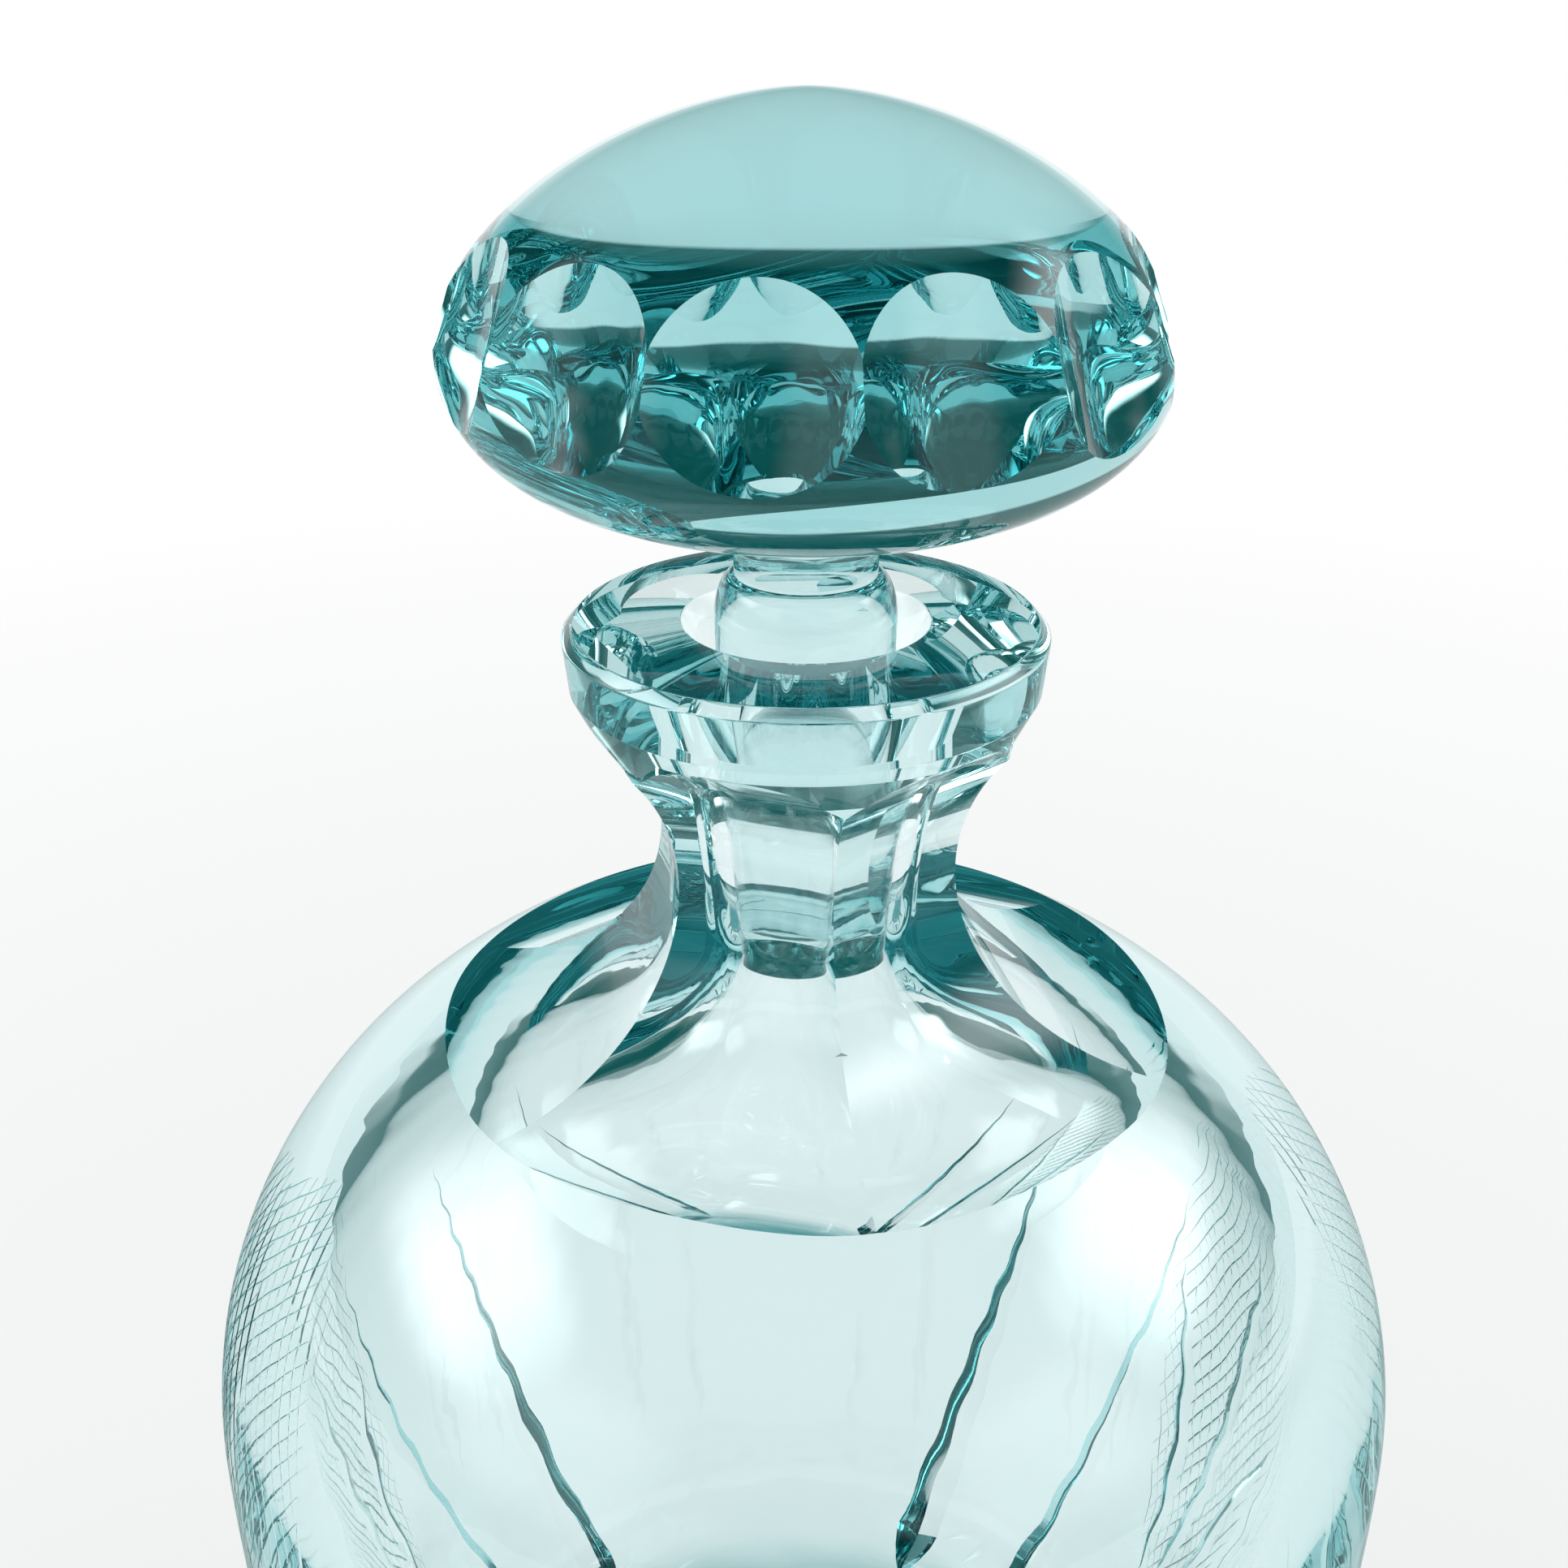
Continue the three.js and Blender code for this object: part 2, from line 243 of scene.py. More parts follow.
def dome_quarter(radius, height, fullness, steps):
    """A quarter of a superellipse from its rim at (radius, 0) to its pole at (0, height)."""
    angle = np.linspace(0, math.pi / 2, steps + 1)
    across = np.abs(np.cos(angle)) ** (2 / fullness)
    across[-1] = 0
    return np.column_stack((radius * across, height * np.sin(angle) ** (2 / fullness)))


def belly(arc_radius, floor, corner, corner_steps, belly_steps):
    """A rounded corner on a floor and the long arc above it, upright at the widest section."""
    centre = np.array((BODY_RADIUS - BELLY_ARC, WIDEST_HEIGHT))
    drop = WIDEST_HEIGHT - floor - corner
    reach = arc_radius - corner
    corner_centre = (centre[0] + math.sqrt(reach**2 - drop**2), floor + corner)
    lean = -math.asin(drop / reach)
    round_part = arc(corner_centre, corner, corner, -math.pi / 2, lean, corner_steps)
    return np.vstack((round_part, arc(centre, arc_radius, arc_radius, lean, 0, belly_steps)[1:]))


def eased(points, radius):
    """A polyline whose inner corners are rounded a little, so that edges catch the light."""
    points = [np.asarray(p, float) for p in points]
    chain = [points[0]]
    for before, corner, after in zip(points, points[1:], points[2:]):
        a = (before - corner) / np.linalg.norm(before - corner)
        b = (after - corner) / np.linalg.norm(after - corner)
        half = math.acos(np.clip(a @ b, -1, 1)) / 2
        setback = radius / math.tan(half)
        start, end = corner + a * setback, corner + b * setback
        t = np.linspace(0, 1, EDGE_STEPS + 1)[:, None]
        chain.extend(start * (1 - t) ** 2 + 2 * corner * t * (1 - t) + end * t**2)
    chain.append(points[-1])
    return np.array(chain)


class Turning:
    """A closed profile of smooth stretches that meet at crisp corners, turned about the Z axis.

    The last stretch is left as blown, with faint waves, where blown is set.
    """

    def __init__(self, stretches, blown=False):
        starts, ends, first_normals, last_normals = [], [], [], []
        for stretch in stretches:
            stretch = np.asarray(stretch, float)
            order = 2 if len(stretch) > 2 else 1
            along = np.cumsum(np.r_[0, np.linalg.norm(np.diff(stretch, axis=0), axis=1)])
            tangent = np.gradient(stretch, along, axis=0, edge_order=order)
            tangent /= np.linalg.norm(tangent, axis=1)[:, None]
            normal = np.column_stack((tangent[:, 1], -tangent[:, 0]))
            starts.append(stretch[:-1])
            ends.append(stretch[1:])
            first_normals.append(normal[:-1])
            last_normals.append(normal[1:])
        self.start, self.end = np.vstack(starts), np.vstack(ends)
        self.first_normal, self.last_normal = np.vstack(first_normals), np.vstack(last_normals)
        self.blown_from = len(self.start) - len(starts[-1]) if blown else len(self.start)

    def mesh(self, name):
        """The turned mesh. Each face's row is the profile segment that it comes from."""
        ring = np.linspace(0, 2 * math.pi, COLUMNS, endpoint=False)
        inner = self.end[:-1]
        count = len(inner)
        vertices = [(0, 0, self.start[0, 1])]
        for radius, height in inner:
            vertices += zip(radius * np.sin(ring), -radius * np.cos(ring), np.full(COLUMNS, height))
        vertices.append((0, 0, self.end[-1, 1]))
        last = len(vertices) - 1
        faces, rows = [], []
        for i in range(COLUMNS):
            j = (i + 1) % COLUMNS
            faces.append((0, 1 + j, 1 + i))
            rows.append(0)
            for k in range(count - 1):
                a, b = 1 + k * COLUMNS, 1 + (k + 1) * COLUMNS
                faces.append((a + i, a + j, b + j, b + i))
                rows.append(k + 1)
            top = 1 + (count - 1) * COLUMNS
            faces.append((top + i, top + j, last))
            rows.append(count)
        return mesh_of(name, vertices, faces, rows)

    def normals(self, points, rows):
        """Smooth outward normals at points that lie on the given segments."""
        flat = np.column_stack((np.hypot(points[:, 0], points[:, 1]), points[:, 2]))
        step = self.end[rows] - self.start[rows]
        share = np.einsum("ij,ij->i", flat - self.start[rows], step) / np.einsum("ij,ij->i", step, step)
        share = np.clip(share, 0, 1)[:, None]
        normal = self.first_normal[rows] * (1 - share) + self.last_normal[rows] * share
        around = points[:, :2] / np.maximum(flat[:, :1], 1e-9)
        found = np.column_stack((around * normal[:, :1], normal[:, 1]))
        blown = rows >= self.blown_from
        found[blown] += waves(points[blown])
        return found


def waves(points):
    """The slight tilts of a blown wall: three crossing trains of waves along its length and round it."""
    angle = np.arctan2(points[:, 0], -points[:, 1])
    round_it = np.column_stack((np.cos(angle), np.sin(angle), np.zeros(len(angle))))
    upward = np.array((0, 0, 1))
    tilt = np.zeros_like(points)
    for degrees, length in WAVE_TRAINS:
        lean = math.radians(degrees)
        run = angle * INNER_RADIUS * math.cos(lean) + points[:, 2] * math.sin(lean)
        wander = WAVE_WANDER * np.sin(WAVE_WANDERS_ROUND * angle + degrees)
        swing = WAVE_TILT * np.cos(2 * math.pi * run / length + wander)
        tilt += swing[:, None] * (round_it * math.cos(lean) + upward * math.sin(lean))
    return tilt


def mesh_of(name, vertices, faces, rows):
    """A mesh whose faces carry a whole number, row, that says what made them."""
    mesh = bpy.data.meshes.new(name)
    mesh.from_pydata(vertices, [], faces)
    mesh.attributes.new("row", "INT", "FACE").data.foreach_set("value", np.array(rows, np.int32))
    return mesh


def add(name, data):
    """A new object of the scene."""
    obj = bpy.data.objects.new(name, data)
    bpy.context.scene.collection.objects.link(obj)
    return obj


def cut(mesh, cutters):
    """The mesh with each cutter mesh taken away."""
    for cutter in cutters:
        work, tool = add("work", mesh), add("tool", cutter)
        modifier = work.modifiers.new("cut", "BOOLEAN")
        modifier.operation = "DIFFERENCE"
        modifier.solver = "MANIFOLD"
        modifier.object = tool
        graph = bpy.context.evaluated_depsgraph_get()
        mesh = bpy.data.meshes.new_from_object(work.evaluated_get(graph))
        bpy.data.objects.remove(work)
        bpy.data.objects.remove(tool)
    return cleaned(mesh)


def cleaned(mesh):
    """The mesh without the slivers that are left where the edges of cuts all but meet."""
    work = bmesh.new()
    work.from_mesh(mesh)
    bmesh.ops.remove_doubles(work, verts=work.verts, dist=SLIVER)
    bmesh.ops.dissolve_degenerate(work, edges=work.edges, dist=SLIVER)
    work.to_mesh(mesh)
    work.free()
    return mesh


def polish(mesh, turning, cut_normals):
    """Gives every face corner the exact normal of the surface that made it."""
    loops, polygons = len(mesh.loops), len(mesh.polygons)
    rows = np.empty(polygons, np.int32)
    mesh.attributes["row"].data.foreach_get("value", rows)
    sizes = np.empty(polygons, np.int32)
    mesh.polygons.foreach_get("loop_total", sizes)
    flat = np.empty(polygons * 3)
    mesh.polygons.foreach_get("normal", flat)
    corner = np.empty(loops, np.int32)
    mesh.loops.foreach_get("vertex_index", corner)
    points = np.empty(len(mesh.vertices) * 3)
    mesh.vertices.foreach_get("co", points)
    points = points.reshape(-1, 3)[corner]
    normals = np.repeat(flat.reshape(-1, 3), sizes, axis=0)
    row = np.repeat(rows, sizes)
    turned = row >= 0
    normals[turned] = turning.normals(points[turned], row[turned])
    for mark, normal_of in cut_normals.items():
        chosen = row == mark
        normals[chosen] = normal_of(points[chosen])
    normals /= np.linalg.norm(normals, axis=1)[:, None]
    mesh.polygons.foreach_set("use_smooth", np.ones(polygons, bool))
    mesh.normals_split_custom_set(normals)
    mesh.update()
    return mesh


def compass(angle):
    """The unit vector at an angle from -Y towards +X."""
    return np.array((math.sin(angle), -math.cos(angle), 0))


def plug_radius(height):
    """Radius of the plug's taper at a height, carried on past its ends."""
    share = (PLUG_TOP - height) / PLUG_LENGTH
    return PLUG_TOP_RADIUS + (PLUG_TIP_RADIUS - PLUG_TOP_RADIUS) * share


def body_turning():
    """The body before its cuts: dish and base, belly and shoulder, lip and bore, and the hollow."""
    dish_radius = (PONTIL_RADIUS**2 + PONTIL_DEPTH**2) / (2 * PONTIL_DEPTH)
    dish_edge = math.asin((dish_radius - PONTIL_DEPTH) / dish_radius)
    dish_centre = (0, PONTIL_DEPTH - dish_radius)
    dish = arc(dish_centre, dish_radius, dish_radius, math.pi / 2, dish_edge, DISH_STEPS)
    side = belly(BELLY_ARC, 0, HEEL_ROUND, HEEL_STEPS, BELLY_STEPS)
    middle = (0, WIDEST_HEIGHT)
    neck_meets = math.acos(NECK_RADIUS / BODY_RADIUS)
    shoulder = arc(middle, BODY_RADIUS, SHOULDER_RISE, 0, neck_meets, SHOULDER_STEPS)
    outside = np.vstack((side, shoulder[1:]))
    band_foot = LIP_TOP - LIP_BAND
    bore_top = LIP_TOP - MOUTH_DEPTH
    bore_foot = PLUG_TIP + BORE_ABOVE_TIP
    lip = eased(
        (
            (NECK_RADIUS, band_foot - UNDER_LIP_DROP),
            (LIP_RADIUS - LIP_BAND_TAPER, band_foot),
            (LIP_RADIUS, LIP_TOP - LIP_BEVEL),
            (LIP_RADIUS - LIP_BEVEL, LIP_TOP),
            (MOUTH_RADIUS, LIP_TOP),
            (plug_radius(bore_top) + SEAT_CLEARANCE, bore_top),
            (plug_radius(bore_foot) + SEAT_CLEARANCE, bore_foot),
        ),
        EDGE_ROUND,
    )
    flare_angle = math.acos(BORE_FLARE_RADIUS / INNER_RADIUS)
    dome = arc(middle, INNER_RADIUS, INNER_RISE, 0, flare_angle, HOLLOW_DOME_STEPS)
    along = np.array((-INNER_RADIUS * math.sin(flare_angle), INNER_RISE * math.cos(flare_angle)))
    along /= np.linalg.norm(along)
    bend = dome[-1] + along * BORE_FLARE_PULL
    flare = bezier(dome[-1], bend, lip[-1] - (0, BORE_FLARE_PULL), lip[-1], FLARE_STEPS)
    floor = belly(BELLY_ARC - WALL, FLOOR_THICKNESS, FLOOR_ROUND, HOLLOW_CORNER_STEPS, HOLLOW_BELLY_STEPS)
    inside = np.vstack(((0, FLOOR_THICKNESS), floor, dome[1:], flare[1:]))[::-1]
    return Turning((dish, (dish[-1], side[0]), outside, (outside[-1], lip[0]), lip, inside), blown=True)


def flute_wheels():
    """Six wheels that lie across the neck, so a flute is flat across and hollow upright."""
    steps = FLUTE_WHEEL_STEPS
    turn = np.linspace(0, 2 * math.pi, steps, endpoint=False)
    away = THROAT_RADIUS + FLUTE_WHEEL_RADIUS
    meshes = []
    for k in range(FLUTE_COUNT):
        angle = 2 * math.pi * k / FLUTE_COUNT
        outward, across = compass(angle), compass(angle + math.pi / 2)
        vertices = []
        for end in (-BODY_RADIUS, BODY_RADIUS):
            for t in turn:
                reach = away + FLUTE_WHEEL_RADIUS * math.cos(t)
                height = THROAT + FLUTE_WHEEL_RADIUS * math.sin(t)
                vertices.append(outward * reach + across * end + np.array((0, 0, height)))
        faces = [(i, steps + i, steps + (i + 1) % steps, (i + 1) % steps) for i in range(steps)]
        faces += [tuple(range(steps)), tuple(range(steps, 2 * steps))[::-1]]
        mark = FLUTE_CUT - MARKS_APART * k
        meshes.append(mesh_of("flute_wheel", vertices, faces, [mark] * len(faces)))
    return meshes


def flute_normals():
    """For each flute, the normals of its hollow: towards the axle of the wheel."""
    away = THROAT_RADIUS + FLUTE_WHEEL_RADIUS
    found = {}
    for k in range(FLUTE_COUNT):
        outward = compass(2 * math.pi * k / FLUTE_COUNT)

        def normals(points, outward=outward):
            back = away - points @ outward
            up = THROAT - points[:, 2]
            return back[:, None] * outward + up[:, None] * np.array((0, 0, 1))

        found[FLUTE_CUT - MARKS_APART * k] = normals
    return found


def wall_point(angle, height):
    """A point of the body's outside wall, and the outward direction there."""
    over = height - WIDEST_HEIGHT
    if over > 0:
        radius = BODY_RADIUS * math.sqrt(1 - (over / SHOULDER_RISE) ** 2)
        lean = np.array((radius / BODY_RADIUS**2, over / SHOULDER_RISE**2))
    else:
        radius = BODY_RADIUS - BELLY_ARC + math.sqrt(BELLY_ARC**2 - over**2)
        lean = np.array((radius - BODY_RADIUS + BELLY_ARC, over))
    lean /= np.linalg.norm(lean)
    around, upward = compass(angle), np.array((0, 0, 1))
    return around * radius + upward * height, around * lean[0] + upward * lean[1]


def mitre(angles, heights, widths):
    """The V-edged wheel's cut along a line on the wall."""
    places = [wall_point(*place) for place in zip(angles, heights)]
    points = np.array([point for point, outward in places])
    outward = np.array([outward for point, outward in places])
    across = np.cross(outward, np.gradient(points, axis=0))
    across /= np.linalg.norm(across, axis=1)[:, None]
    half = np.maximum(widths, CUT_FINEST)[:, None] / 2
    keel = points - outward * half * CUT_STEEPNESS
    top = points + outward * CUT_PROUD
    side = across * (half + CUT_PROUD / CUT_STEEPNESS)
    vertices = np.stack((keel, top + side, top - side), axis=1).reshape(-1, 3)
    last = len(vertices) - 3
    faces = [(0, 2, 1), (last, last + 1, last + 2)]
    for i in range(0, last, 3):
        faces += [(i + a, i + b, i + 3 + b, i + 3 + a) for a, b in ((0, 1), (1, 2), (2, 0))]
    return vertices, faces


def joined(cuts):
    """One cutter mesh of several cuts that stay clear of each other."""
    vertices, faces = [], []
    for points, polygons in cuts:
        first = len(vertices)
        vertices.extend(points)
        faces.extend(tuple(first + k for k in polygon) for polygon in polygons)
    return mesh_of("mitre_wheel", vertices, faces, [MITRE_CUT] * len(faces))


def blade_cuts():
    """Long blades that rise from the heel, lean away from the middle and thin out to a point."""
    foot, tip = HEEL_ROUND + BLADE_OVER_HEEL, WIDEST_HEIGHT + BLADE_OVER_WIDEST
    share = np.linspace(0, 1, round((tip - foot) / CUT_STEP) + 1)
    widths = BLADE_WIDTH * np.minimum(1, share / BLADE_SWELL) * (1 - share)
    for middle in (CUT_FRONT, CUT_FRONT + math.pi):
        for turn in BLADE_TURNS:
            for hand in (-1, 1):
                angles = middle + hand * np.radians(turn + BLADE_LEAN * (share - 0.5))
                yield mitre(angles, foot + (tip - foot) * share, widths)


def side_middles():
    """The angles of the middles of the two sides."""
    return CUT_FRONT + math.pi / 2, CUT_FRONT + 3 * math.pi / 2


def leaf_cuts():
    """A fan of curved leaves on each side."""
    share = np.linspace(0, 1, round(LEAF_FOOT / CUT_STEP) + 1)
    bend = LEAF_SPREAD + (1 - LEAF_SPREAD) * share**LEAF_CURVE
    widths = LEAF_WIDTH * np.sin(math.pi * share)
    for middle in side_middles():
        for turn, tip in LEAVES:
            heights = WIDEST_HEIGHT - LEAF_FOOT + (tip + LEAF_FOOT) * share
            yield mitre(middle + math.radians(turn) * bend, heights, widths)


def net_cuts(slant):
    """The fine parallel cuts of one direction of the nets, within an oval on each side."""
    along = np.array((math.sin(slant), math.cos(slant)))
    aside = np.array((math.cos(slant), -math.sin(slant)))
    count = int(np.linalg.norm(aside * NET_REACH) / NET_PITCH)
    for middle in side_middles():
        for k in range(-count, count + 1):
            start, step = aside * k * NET_PITCH / NET_REACH, along / NET_REACH
            centre = -(start @ step) / (step @ step)
            inside = centre**2 - (start @ start - 1) / (step @ step)
            if inside < CUT_STEP**2:
                continue
            half_run = math.sqrt(inside)
            share = np.linspace(-1, 1, max(CUT_FEWEST_STEPS, round(2 * half_run / CUT_STEP)))
            place = aside * k * NET_PITCH + along * (centre + half_run * share)[:, None]
            heights = WIDEST_HEIGHT - NET_DROP + place[:, 1]
            yield mitre(middle + place[:, 0] / BODY_RADIUS, heights, NET_WIDTH * (1 - share**4))


def mitre_cutters():
    return [joined(cuts) for cuts in (blade_cuts(), leaf_cuts(), net_cuts(NET_SLANT), net_cuts(-NET_SLANT))]


def stopper_turning():
    """The stopper before its cuts: plug, collar, stem and domed head."""
    plug = eased(
        (
            (0, PLUG_TIP),
            (PLUG_TIP_RADIUS - PLUG_TIP_BEVEL, PLUG_TIP),
            (plug_radius(PLUG_TIP + PLUG_TIP_BEVEL), PLUG_TIP + PLUG_TIP_BEVEL),
            (PLUG_TOP_RADIUS, PLUG_TOP),
        ),
        EDGE_ROUND,
    )
    step = PLUG_TOP_RADIUS - STEM_RADIUS
    collar = arc((STEM_RADIUS, PLUG_TOP), step, STEM_SHOULDER, 0, math.pi / 2, COLLAR_STEPS)
    stem = ((STEM_RADIUS, STEM_FOOT), (STEM_RADIUS, HEAD_FOOT))
    under = dome_quarter(HEAD_RADIUS, -HEAD_UNDER, UNDER_FULLNESS, UNDER_STEPS)[::-1]
    under = under[under[:, 0] > STEM_RADIUS * STEM_JOINS_HEAD]
    crown = dome_quarter(HEAD_RADIUS, HEAD_CROWN, CROWN_FULLNESS, CROWN_STEPS)[1:]
    head = np.vstack((under, crown)) + (0, HEAD_WIDEST)
    return Turning((plug, collar, stem, (stem[-1], head[0]), head))


def print_places():
    """The mark, the centre and the three directions of each thumbprint wheel: across, deep and along."""
    for k in range(PRINT_COUNT):
        angle = STOPPER_TURN + 2 * math.pi * k / PRINT_COUNT
        outward, across = compass(angle), compass(angle + math.pi / 2)
        upward = np.array((0, 0, 1))
        deep = outward * math.cos(PRINT_TILT) + upward * math.sin(PRINT_TILT)
        along = upward * math.cos(PRINT_TILT) - outward * math.sin(PRINT_TILT)
        tip = outward * (HEAD_RADIUS - PRINT_INSET) + upward * (HEAD_WIDEST + PRINT_RISE)
        yield PRINT_CUT - MARKS_APART * k, tip + deep * PRINT_WHEEL[1], np.array((across, deep, along))


def print_wheels():
    """Oval wheels for the thumbprints."""
    rings = steps = PRINT_WHEEL_STEPS
    meshes = []
    for mark, centre, frame in print_places():
        vertices = [(0, -1, 0)]
        for polar in np.linspace(0, math.pi, rings + 1)[1:-1]:
            wide, deep = math.sin(polar), -math.cos(polar)
            for t in np.linspace(0, 2 * math.pi, steps, endpoint=False):
                vertices.append((wide * math.sin(t), deep, wide * math.cos(t)))
        vertices.append((0, 1, 0))
        last = len(vertices) - 1
        faces = []
        for i in range(steps):
            j = (i + 1) % steps
            faces.append((0, 1 + i, 1 + j))
            for ring in range(rings - 2):
                a, b = 1 + ring * steps, 1 + (ring + 1) * steps
                faces.append((a + i, b + i, b + j, a + j))
            top = 1 + (rings - 2) * steps
            faces.append((top + i, last, top + j))
        placed = centre + (np.array(vertices) * PRINT_WHEEL) @ frame
        meshes.append(mesh_of("print_wheel", placed, faces, [mark] * len(faces)))
    return meshes


def print_normals():
    """For each thumbprint, the normals of its hollow, against the wheel's own, with faint waves."""
    found = {}
    for mark, centre, frame in print_places():

        def normals(points, centre=centre, frame=frame):
            local = (points - centre) @ frame.T
            hollow = -local / np.square(PRINT_WHEEL)
            hollow /= np.linalg.norm(hollow, axis=1)[:, None]
            run = local[:, 2] + PRINT_WAVE_BEND * local[:, 0] * np.sin(local[:, 0] / PRINT_WAVE)
            hollow[:, 2] += PRINT_WAVE_TILT * np.sin(2 * math.pi * run / PRINT_WAVE)
            return hollow @ frame

        found[mark] = normals
    return found


def crystal(name, colour, density):
    """Polished crystal that is tinted by the depth of glass that the light goes through."""
    material = bpy.data.materials.new(name)
    material.use_nodes = True
    nodes, links = material.node_tree.nodes, material.node_tree.links
    glass = nodes["Principled BSDF"]
    glass.inputs["Base Color"].default_value = (1, 1, 1, 1)
    glass.inputs["Transmission Weight"].default_value = 1
    glass.inputs["IOR"].default_value = CRYSTAL_IOR
    glass.inputs["Roughness"].default_value = 0
    tint = nodes.new("ShaderNodeVolumeAbsorption")
    tint.inputs["Color"].default_value = (*colour, 1)
    tint.inputs["Density"].default_value = density
    links.new(tint.outputs["Volume"], nodes["Material Output"].inputs["Volume"])
    return material


def make_body():
    turning = body_turning()
    mesh = cut(turning.mesh("decanter_glass"), flute_wheels() + mitre_cutters())
    mesh = polish(mesh, turning, flute_normals())
    obj = add("decanter_glass", mesh)
    mesh.materials.clear()
    mesh.materials.append(crystal("body_crystal", AQUA, BODY_DENSITY))
    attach(obj, "decanter")
    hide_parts("decanter_body")


def make_stopper():
    turning = stopper_turning()
    mesh = cut(turning.mesh("stopper_glass"), print_wheels())
    mesh = polish(mesh, turning, print_normals())
    obj = add("stopper_glass", mesh)
    mesh.materials.clear()
    mesh.materials.append(crystal("stopper_crystal", AQUA, STOPPER_DENSITY))
    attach(obj, "stopper")
    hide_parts("stopper")


def make_camera():
    data = bpy.data.cameras.new("camera")
    data.lens = LENS_MM
    data.sensor_width = SENSOR_MM
    data.clip_start = VIEW_NEAREST
    camera = add("camera", data)
    place = compass(VIEW_AZIMUTH) * VIEW_DISTANCE
    camera.location = (place[0], place[1], LIP_TOP + VIEW_ABOVE_LIP)
    camera.rotation_euler = (math.pi / 2 - VIEW_PITCH, 0, VIEW_AZIMUTH + VIEW_PAN)
    bpy.context.scene.camera = camera


def ramp_of(tree, value, stops, interpolation="LINEAR"):
    """A value's colour on a ramp with the given stops of position and colour."""
    ramp = tree.nodes.new("ShaderNodeValToRGB")
    elements = ramp.color_ramp.elements
    while len(elements) < len(stops):
        elements.new(1)
    for element, (position, colour) in zip(elements, stops):
        element.position = position
        element.color = (*np.broadcast_to(colour, 3), 1)
    ramp.color_ramp.interpolation = interpolation
    tree.links.new(value, ramp.inputs["Fac"])
    return ramp.outputs["Color"]


def rise(tree, value, reach):
    """0 up to where the reach starts, and 1 from where it ends."""
    return ramp_of(tree, value, ((reach[0], 0), (reach[1], 1)))


def fall(tree, value, reach):
    """1 up to where the reach starts, and 0 from where it ends."""
    return ramp_of(tree, value, ((reach[0], 1), (reach[1], 0)))


def math_of(tree, operation, *values):
    """The result of a math node on the outputs of other nodes, kept from 0 to 1."""
    node = tree.nodes.new("ShaderNodeMath")
    node.operation = operation
    node.use_clamp = True
    for socket, value in zip(node.inputs, values):
        tree.links.new(value, socket)
    return node.outputs["Value"]


def ahead_of(tree, place):
    """How far a place or a direction reaches away from the camera."""
    ahead = tree.nodes.new("ShaderNodeVectorMath")
    ahead.operation = "DOT_PRODUCT"
    ahead.inputs[1].default_value = -compass(VIEW_AZIMUTH)
    tree.links.new(place, ahead.inputs[0])
    return ahead.outputs["Value"]


def mirrored_behind(tree, place, reach):
    """1 where the outside of the glass mirrors what is behind the object, and 0 for other rays."""
    path = tree.nodes.new("ShaderNodeLightPath")
    mirrored = math_of(tree, "SUBTRACT", path.outputs["Is Glossy Ray"], path.outputs["Is Transmission Ray"])
    return math_of(tree, "MULTIPLY", mirrored, rise(tree, ahead_of(tree, place), reach))


def mix_into(tree, share, first, second, output):
    """Sends a mix of two shaders to an output node."""
    mix = tree.nodes.new("ShaderNodeMixShader")
    tree.links.new(share, mix.inputs["Fac"])
    tree.links.new(first, mix.inputs[1])
    tree.links.new(second, mix.inputs[2])
    tree.links.new(mix.outputs["Shader"], tree.nodes[output].inputs["Surface"])


def make_floor():
    """A wide pale floor that keeps the object's shadow, and turns to plain white further away.

    Through the glass it is white too, apart from the shade under the base.
    """
    floor = add("floor", bpy.data.meshes.new("floor"))
    corners = [(x * FLOOR_REACH, y * FLOOR_REACH, 0) for x, y in ((-1, -1), (1, -1), (1, 1), (-1, 1))]
    floor.data.from_pydata(corners, [], [(0, 1, 2, 3)])
    material = bpy.data.materials.new("pale_floor")
    material.use_nodes = True
    tree = material.node_tree
    paint = tree.nodes["Principled BSDF"]
    paint.inputs["Base Color"].default_value = (*FLOOR_COLOUR, 1)
    paint.inputs["Roughness"].default_value = FLOOR_ROUGHNESS
    place = tree.nodes.new("ShaderNodeNewGeometry").outputs["Position"]
    length = tree.nodes.new("ShaderNodeVectorMath")
    length.operation = "LENGTH"
    tree.links.new(place, length.inputs[0])
    away = length.outputs["Value"]
    glow = tree.nodes.new("ShaderNodeEmission")
    shade = ramp_of(tree, away, ((SHADE_EDGE[0], SHADE_COLOUR), (SHADE_EDGE[1], 1)))
    tree.links.new(shade, glow.inputs["Color"])
    fade = ramp_of(tree, away, ((0, FLOOR_WHITENESS), (FLOOR_FADE, 1)))
    path = tree.nodes.new("ShaderNodeLightPath").outputs
    seen = math_of(tree, "MULTIPLY_ADD", path["Is Camera Ray"], fade, path["Is Transmission Ray"])
    white = math_of(tree, "ADD", seen, mirrored_behind(tree, place, MIRROR_FLOOR))
    mix_into(tree, white, paint.outputs["BSDF"], glow.outputs["Emission"], "Material Output")
    floor.data.materials.append(material)


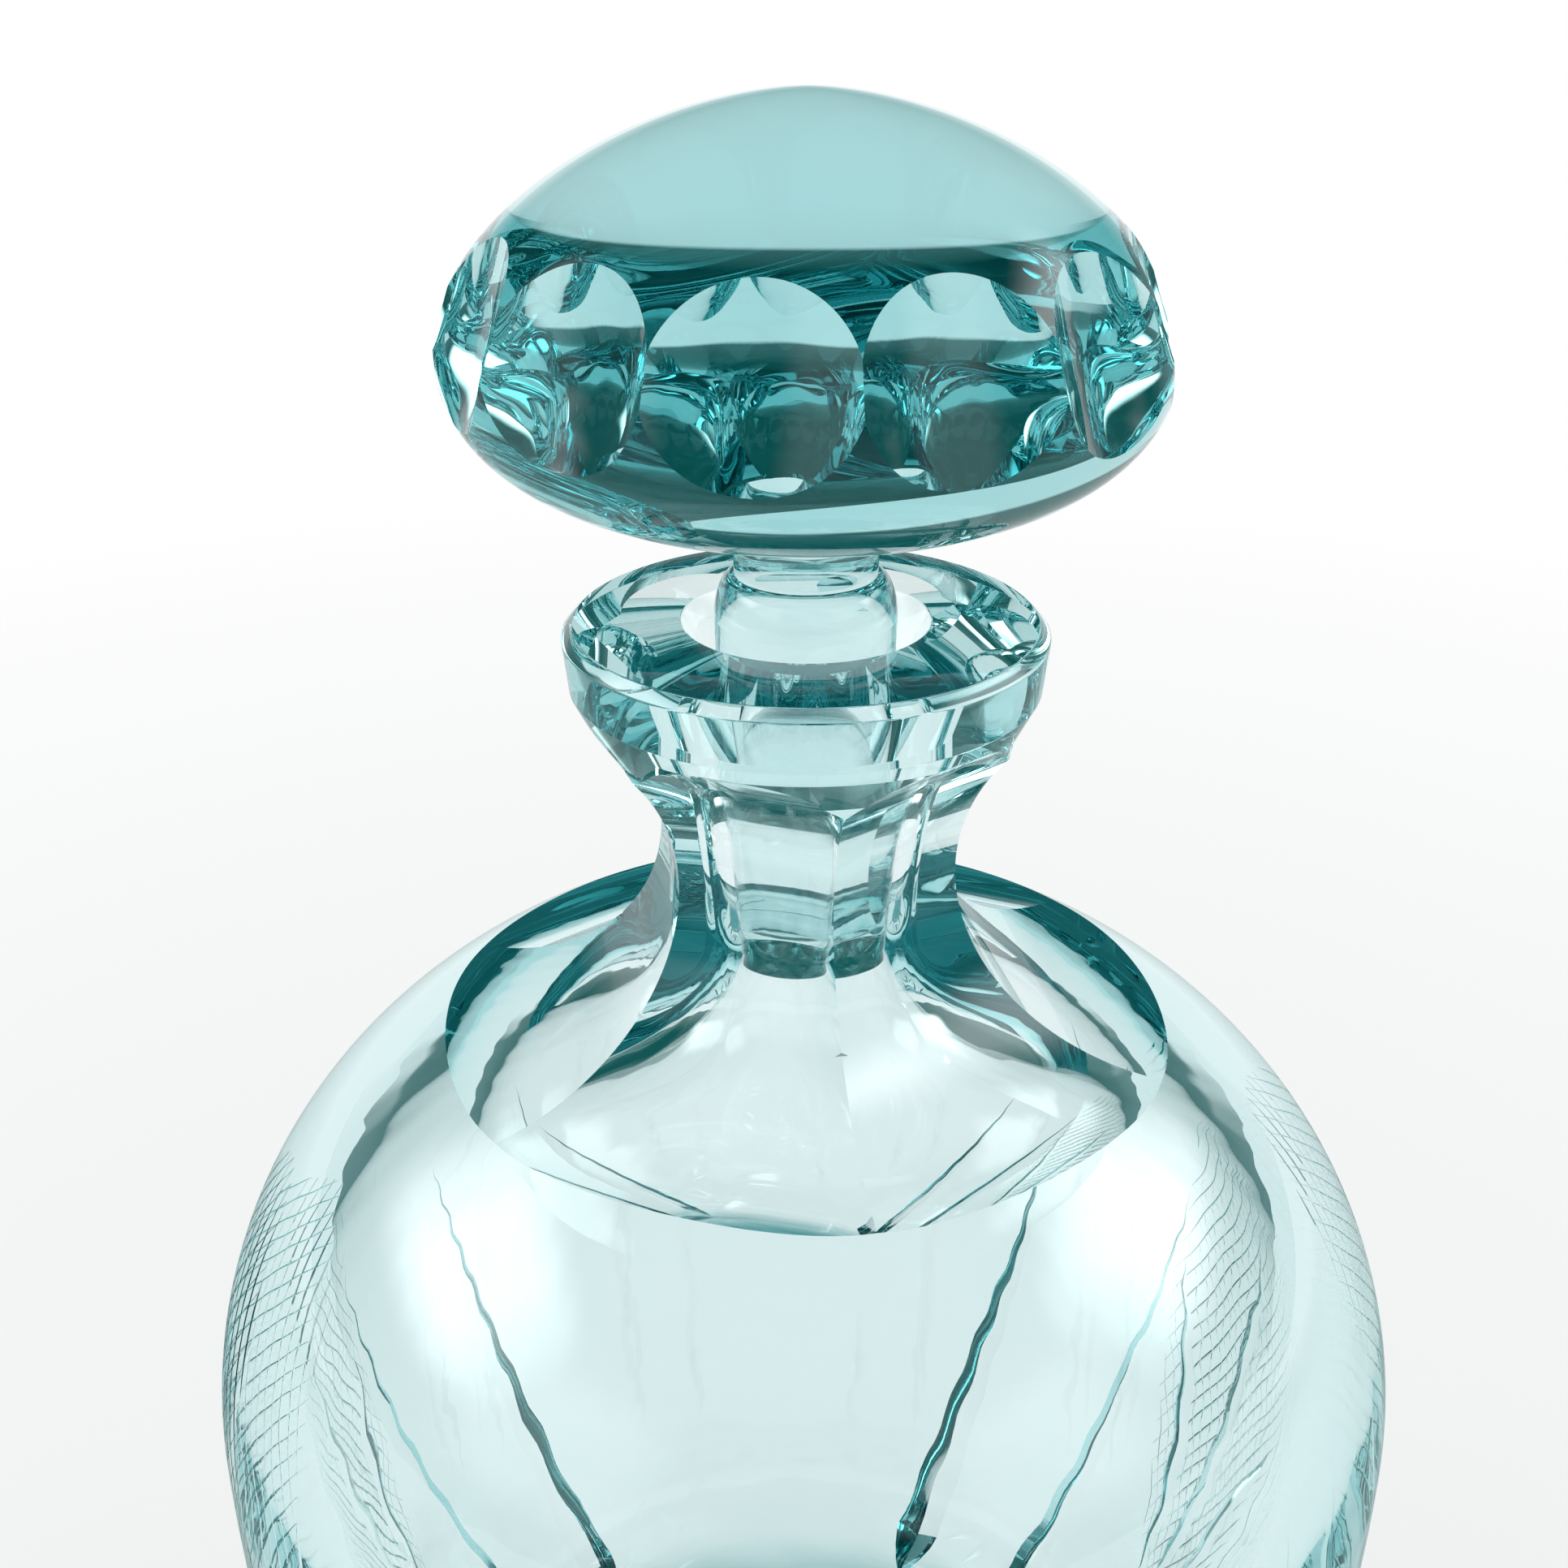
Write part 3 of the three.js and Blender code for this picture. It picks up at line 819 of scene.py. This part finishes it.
def make_world():
    """A dim room with a white backdrop low down behind the object, and plain white for the camera itself."""
    world = bpy.data.worlds.new("studio")
    bpy.context.scene.world = world
    world.use_nodes = True
    tree = world.node_tree
    direction = tree.nodes.new("ShaderNodeTexCoord").outputs["Generated"]
    split = tree.nodes.new("ShaderNodeSeparateXYZ")
    tree.links.new(direction, split.inputs["Vector"])
    height = split.outputs["Z"]
    behind = rise(tree, ahead_of(tree, direction), BACKDROP_REACH)
    sheet = math_of(tree, "MULTIPLY", fall(tree, height, BACKDROP_TOP), behind)
    mirrored = mirrored_behind(tree, direction, MIRROR_REACH)
    rim = math_of(tree, "MULTIPLY", mirrored, fall(tree, height, MIRROR_TOP))
    path = tree.nodes.new("ShaderNodeLightPath").outputs
    white = math_of(tree, "MAXIMUM", path["Is Camera Ray"], math_of(tree, "ADD", sheet, rim))
    room = tree.nodes["Background"]
    shades = ((0, ROOM_COLOUR), (CEILING_STARTS, CEILING_COLOUR))
    tree.links.new(ramp_of(tree, height, shades), room.inputs["Color"])
    backdrop = tree.nodes.new("ShaderNodeBackground")
    backdrop.inputs["Color"].default_value = (1, 1, 1, 1)
    mix_into(tree, white, room.outputs["Background"], backdrop.outputs["Background"], "World Output")


def make_lamp(name, radiance, azimuth, elevation):
    """A soft box that faces the middle of the body, bright in the middle and fading to its edges."""
    data = bpy.data.lights.new(name, "AREA")
    data.shape = "RECTANGLE"
    data.size, data.size_y = LAMP_SIZE
    data.energy = radiance * math.pi * LAMP_SIZE[0] * LAMP_SIZE[1]
    data.use_nodes = True
    tree = data.node_tree
    place = tree.nodes.new("ShaderNodeNewGeometry").outputs["Parametric"]
    split = tree.nodes.new("ShaderNodeSeparateXYZ")
    tree.links.new(place, split.inputs["Vector"])
    soft = ((0, 0), (LAMP_EDGE, 1), (1 - LAMP_EDGE, 1), (1, 0))
    across, upward = (ramp_of(tree, split.outputs[way], soft, "EASE") for way in "XY")
    panel = math_of(tree, "MULTIPLY", across, upward)
    tree.links.new(panel, tree.nodes["Emission"].inputs["Strength"])
    lamp = add(name, data)
    target = Vector((0, 0, WIDEST_HEIGHT))
    outward = Vector(compass(azimuth)) * math.cos(elevation) + Vector((0, 0, math.sin(elevation)))
    lamp.location = target + outward * LAMP_DISTANCE
    lamp.rotation_euler = outward.to_track_quat("Z", "Y").to_euler()
    lamp.visible_camera = False


def make_stage():
    make_floor()
    make_world()
    for name, radiance, aside, elevation in LAMPS:
        make_lamp(name, radiance, VIEW_AZIMUTH + math.radians(aside), math.radians(elevation))


def main():
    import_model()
    scene = bpy.context.scene
    scene.view_settings.view_transform = "Standard"
    scene.cycles.max_bounces = LIGHT_BOUNCES
    scene.cycles.transmission_bounces = LIGHT_BOUNCES
    scene.cycles.glossy_bounces = LIGHT_BOUNCES
    make_camera()
    make_stage()
    make_body()
    make_stopper()


main()
